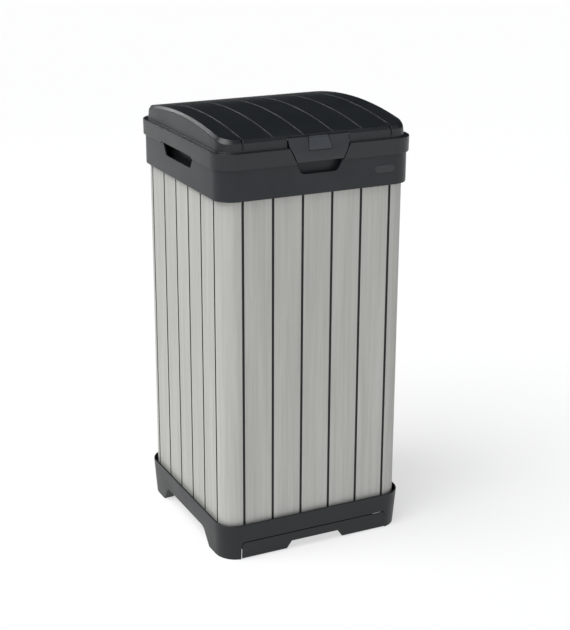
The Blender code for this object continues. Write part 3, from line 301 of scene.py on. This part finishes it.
def shade_grooves(thing, node, finish):
    """Paints shade on a wall's rounded edges and on its groove faces, which lie a little behind its face."""
    low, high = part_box(node)
    across = 1 if node in ("wall_front", "wall_back") else 0
    face = high[across] if node in ("wall_back", "wall_right") else low[across]
    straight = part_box("wall_left")[1].y
    thing.data.materials.append(finish)
    # the wall's rounded edges take the painted shade
    thing.modifiers["Rounded edges"].material = 1
    # faces inside the grooves take the painted shade
    for polygon in thing.data.polygons:
        behind = abs(face - polygon.center[across])
        along = abs(polygon.center[1 - across])
        upright = abs(polygon.normal.z) < UPRIGHT_WITHIN
        if BEHIND_FACE[0] < behind < BEHIND_FACE[1] and along < straight and upright:
            polygon.material_index = 1


def finish_small_hardware(zinc):
    """Screws and pins keep their solids and take the zinc finish."""
    for node, thing in frame["nodes"].items():
        if node.startswith(("base_screw", "hinge_pin", "latch_pin")):
            thing.data.materials.clear()
            thing.data.materials.append(zinc)


def build_spring(body, zinc):
    """The button's spring, a zinc copy on its body with a mesh of its own; the real spring shortens towards
    its seat as the button goes in.
    """
    made = finished_object("button_spring_coil", frame["nodes"]["button_spring"].data.copy(), zinc)
    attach(made, body)
    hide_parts("button_spring")
    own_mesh(made)


def build_pieces():
    bodies = {node: body for body, nodes in frame["record"]["behaviour"]["bodies"].items() for node in nodes}
    wall = wall_material()
    # painted shade for the walls' grooves and rounded edges
    groove = groove_shade_material()
    collar_resin = resin_material("collar_resin", 0.40, tint=COLLAR_TINT, shine=0.30)
    base_resin = resin_material("base_resin", 0.42, tint=BASE_TINT, shine=0.36)
    lid_resin = resin_material("lid_resin", 0.38, tint=LID_TINT, shine=0.46)
    latch_resin = resin_material("latch_resin", 0.36, tint=LATCH_TINT)
    button_resin = resin_material("button_resin", 0.36, tint=BUTTON_TINT)
    hidden_resin = resin_material("inner_resin", 0.50)
    badge_resin = resin_material("badge_resin", 0.25, FINE_STIPPLE_DEPTH, BADGE_TINT)
    finishes = {
        "wall_front": (wall, WALL_EDGE), "wall_back": (wall, WALL_EDGE),
        "wall_left": (wall, WALL_EDGE), "wall_right": (wall, WALL_EDGE),
        "base": (base_resin, RESIN_EDGE), "collar": (collar_resin, COLLAR_EDGE),
        "lid_shell": (lid_resin, RESIN_EDGE), "drip_tray": (base_resin, SMALL_EDGE),
        "latch_flap": (latch_resin, SMALL_EDGE), "release_button": (button_resin, SMALL_EDGE),
        "badge_plate": (badge_resin, SMALL_EDGE / 2),
        "bag_ring": (hidden_resin, SMALL_EDGE), "floor_pan": (hidden_resin, SMALL_EDGE),
        "tray_runner_left": (hidden_resin, SMALL_EDGE), "tray_runner_right": (hidden_resin, SMALL_EDGE),
    }
    for node, (finish, width) in finishes.items():
        piece = rounded_piece(node, bodies[node], finish, width)
        if node.startswith("wall_"):
            shade_grooves(piece, node, groove)
    zinc = steel_material("bright_zinc")
    finish_small_hardware(zinc)
    build_spring(bodies["button_spring"], zinc)


# ---------------------------------------------------------------- studio

def build_floor():
    mesh = bpy.data.meshes.new("studio_floor")
    corners = [(x * FLOOR_HALF, y * FLOOR_HALF, -FLOOR_DROP) for x, y in ((-1, -1), (1, -1), (1, 1), (-1, 1))]
    mesh.from_pydata(corners, [], [(0, 1, 2, 3)])
    floor = bpy.data.objects.new("studio_floor", mesh)
    bpy.context.scene.collection.objects.link(floor)
    made, _, _, shader = new_material("studio_floor")
    shader.inputs["Base Color"].default_value = (*[FLOOR_COLOUR] * 3, 1)
    shader.inputs["Roughness"].default_value = 1.0
    shader.inputs["Specular IOR Level"].default_value = 0.0
    shader.inputs["Emission Color"].default_value = (1, 1, 1, 1)
    shader.inputs["Emission Strength"].default_value = FLOOR_GLOW
    mesh.materials.append(made)


def build_lights():
    key = bpy.data.lights.new("key_light", "SUN")
    key.energy = KEY_STRENGTH
    key.angle = math.radians(KEY_WIDTH)
    lamp = bpy.data.objects.new("key_light", key)
    lamp.rotation_euler = Vector(KEY_FROM).to_track_quat("Z", "Y").to_euler()
    bpy.context.scene.collection.objects.link(lamp)
    rim = bpy.data.lights.new("rim_light", "AREA")
    rim.shape = "RECTANGLE"
    rim.size, rim.size_y = RIM_SIZE
    rim.energy = RIM_POWER
    lamp = bpy.data.objects.new("rim_light", rim)
    lamp.location = RIM_PLACE
    lamp.rotation_euler = (Vector(RIM_PLACE) - Vector(RIM_AIM)).to_track_quat("Z", "Y").to_euler()
    bpy.context.scene.collection.objects.link(lamp)


def build_room():
    """A dim room with a broad soft glow low down at the front."""
    room = bpy.data.worlds.new("studio_room")
    room.use_nodes = True
    nodes, links = room.node_tree.nodes, room.node_tree.links
    way = nodes.new("ShaderNodeTexCoord")
    parts = nodes.new("ShaderNodeSeparateXYZ")
    links.new(way.outputs["Generated"], parts.inputs["Vector"])
    front = spread(nodes, links, parts.outputs["Y"], -FRONT_FROM, -FRONT_FULL, 0.0, 1.0)
    low = spread(nodes, links, parts.outputs["Z"], GLOW_FADES, GLOW_GONE, 1.0, 0.0)
    both = nodes.new("ShaderNodeMath")
    both.operation = "MULTIPLY"
    links.new(front, both.inputs[0])
    links.new(low, both.inputs[1])
    links.new(blend_colours(nodes, links, both.outputs["Value"], ROOM, FRONT_GLOW),
              nodes["Background"].inputs["Color"])
    bpy.context.scene.world = room


def build_camera():
    data = bpy.data.cameras.new("camera")
    data.lens = LENS
    data.sensor_width = SENSOR
    data.clip_end = FLOOR_HALF * 3
    camera = bpy.data.objects.new("camera", data)
    turn = (Matrix.Rotation(math.radians(CAMERA_TURN), 4, "Z")
            @ Matrix.Rotation(math.radians(90 - CAMERA_DOWN), 4, "X")
            @ Matrix.Rotation(math.radians(CAMERA_ROLL), 4, "Z"))
    camera.matrix_world = Matrix.Translation(CAMERA_PLACE) @ turn
    bpy.context.scene.collection.objects.link(camera)
    bpy.context.scene.camera = camera
    bpy.context.scene.view_settings.view_transform = "Standard"


build_pieces()
build_floor()
build_lights()
build_room()
build_camera()

bpy.context.view_layer.update()
